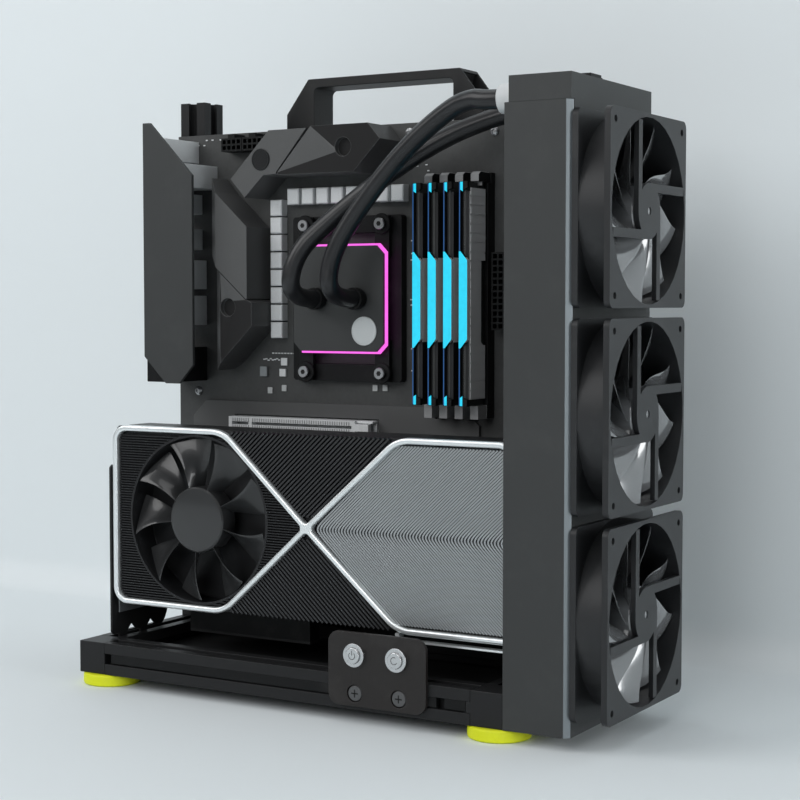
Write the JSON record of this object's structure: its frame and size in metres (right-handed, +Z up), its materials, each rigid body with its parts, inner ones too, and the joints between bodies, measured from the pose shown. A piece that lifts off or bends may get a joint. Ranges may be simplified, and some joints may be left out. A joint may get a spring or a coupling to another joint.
{
  "type": "open air test bench",
  "caption": "Open slotted-bar frame holding a circuit board, an upright graphics card, a liquid cooled processor block and an end-mounted radiator with fans.",
  "frame": {"origin": "middle of the footprint, on the table under the feet", "axes": "+X along the front of the base towards the radiator, +Y from the front to the board tray, +Z up"},
  "size_m": [0.416, 0.1562, 0.4367],
  "materials": {
    "black_bar": "satin anodised black",
    "black_panel": "fine textured black",
    "graphite_panel": "matte dark grey",
    "circuit_board": "matte black",
    "black_plastic": "matte black",
    "port_metal": "satin",
    "choke_grey": "matte grey",
    "silver_frame": "bead blasted",
    "light_fins": "satin grey",
    "dark_fins": "satin black",
    "yellow_rubber": "soft yellow-green",
    "cyan_light": "translucent, lit cyan",
    "magenta_light": "translucent, lit magenta",
    "hose_rubber": "semi-gloss black",
    "copper": "polished",
    "button_steel": "brushed and polished",
    "disc_silver": "satin silver",
    "plate_brown": "matte dark brown-black"
  },
  "bodies": {
    "bench": {"badges": "disc_silver", "base_plate": "black_panel", "base_rails": "black_bar", "block_cover": "graphite_panel", "card_back_plate": "dark_fins", "card_board": "circuit_board", "card_bracket": "port_metal", "card_dark_fins": "dark_fins", "card_frame": "silver_frame", "card_heatsink": "dark_fins", "card_light_fins": "light_fins", "card_supports": "black_panel", "cold_plate": "copper", "corner_blocks": "black_bar", "expansion_slots": "black_plastic", "fan_frames": "black_plastic", "feet": "yellow_rubber", "front_hose": "hose_rubber", "front_panel": "graphite_panel", "handle": "black_panel", "hose_fittings": "black_plastic", "io_cover": "graphite_panel", "io_ports": "port_metal", "light_ring": "magenta_light", "lower_board_cover": "graphite_panel", "memory_boards": "circuit_board", "memory_light_bars": "cyan_light", "memory_slots": "black_plastic", "memory_spreaders": "dark_fins", "motherboard": "circuit_board", "motherboard_tray": "black_panel", "mounting_bracket": "black_panel", "power_connectors": "black_plastic", "processor": "port_metal", "pump_housing": "black_plastic", "radiator_core": "black_panel", "radiator_shroud": "graphite_panel", "rear_hose": "hose_rubber", "rear_posts": "black_bar", "slot_covers": "black_plastic", "socket_frame": "black_plastic", "switch_bodies": "button_steel", "switch_plate": "plate_brown", "vrm_chokes": "choke_grey", "vrm_heatsinks": "graphite_panel"},
    "turning_card_front_rotor": {"card_front_rotor": "black_plastic"},
    "turning_card_rear_rotor": {"card_rear_rotor": "black_plastic"},
    "turning_fan_rotor_bottom": {"fan_rotor_bottom": "black_plastic"},
    "turning_fan_rotor_middle": {"fan_rotor_middle": "black_plastic"},
    "turning_fan_rotor_top": {"fan_rotor_top": "black_plastic"},
    "moving_memory_latch_1": {"memory_latch_1": "black_plastic"},
    "moving_memory_latch_2": {"memory_latch_2": "black_plastic"},
    "moving_memory_latch_3": {"memory_latch_3": "black_plastic"},
    "moving_memory_latch_4": {"memory_latch_4": "black_plastic"},
    "moving_pcie_latch": {"pcie_latch": "black_plastic"},
    "moving_power_button": {"power_button": "button_steel"},
    "moving_reset_button": {"reset_button": "button_steel"}
  },
  "joints": [
    {"name": "fan_spin_bottom", "type": "hinge", "parent": "bench", "child": "turning_fan_rotor_bottom", "pos_m": [0.19555, -0.00965, 0.078], "axis": [1, 0, 0], "continuous": true},
    {"name": "fan_spin_middle", "type": "hinge", "parent": "bench", "child": "turning_fan_rotor_middle", "pos_m": [0.19555, -0.00965, 0.2042], "axis": [1, 0, 0], "continuous": true},
    {"name": "fan_spin_top", "type": "hinge", "parent": "bench", "child": "turning_fan_rotor_top", "pos_m": [0.19555, -0.00965, 0.3304], "axis": [1, 0, 0], "continuous": true},
    {"name": "card_fan_spin_front", "type": "hinge", "parent": "bench", "child": "turning_card_front_rotor", "pos_m": [-0.11555, -0.02695, 0.1213], "axis": [0, 1, 0], "continuous": true},
    {"name": "card_fan_spin_rear", "type": "hinge", "parent": "bench", "child": "turning_card_rear_rotor", "pos_m": [0.06035, -0.02695, 0.1213], "axis": [0, 1, 0], "continuous": true},
    {"name": "memory_latch_turn_1", "type": "hinge", "parent": "bench", "child": "moving_memory_latch_1", "pos_m": [0.03435, 0.03185, 0.3607], "axis": [-1, 0, 0], "range_deg": [0, 30]},
    {"name": "memory_latch_turn_2", "type": "hinge", "parent": "bench", "child": "moving_memory_latch_2", "pos_m": [0.04635, 0.03185, 0.3607], "axis": [-1, 0, 0], "range_deg": [0, 30]},
    {"name": "memory_latch_turn_3", "type": "hinge", "parent": "bench", "child": "moving_memory_latch_3", "pos_m": [0.05835, 0.03185, 0.3607], "axis": [-1, 0, 0], "range_deg": [0, 30]},
    {"name": "memory_latch_turn_4", "type": "hinge", "parent": "bench", "child": "moving_memory_latch_4", "pos_m": [0.07035, 0.03185, 0.3607], "axis": [-1, 0, 0], "range_deg": [0, 30]},
    {"name": "pcie_latch_turn", "type": "hinge", "parent": "bench", "child": "moving_pcie_latch", "pos_m": [-0.02345, 0.03225, 0.1847], "axis": [0, 0, 1], "range_deg": [0, 15], "stiffness_Nm_per_rad": 0.05},
    {"name": "power_press", "type": "slide", "parent": "bench", "child": "moving_power_button", "axis": [0, 1, 0], "range_m": [0, 0.0012], "stiffness_N_per_m": 900, "springref_m": -0.001},
    {"name": "reset_press", "type": "slide", "parent": "bench", "child": "moving_reset_button", "axis": [0, 1, 0], "range_m": [0, 0.0012], "stiffness_N_per_m": 900, "springref_m": -0.001}
  ]
}
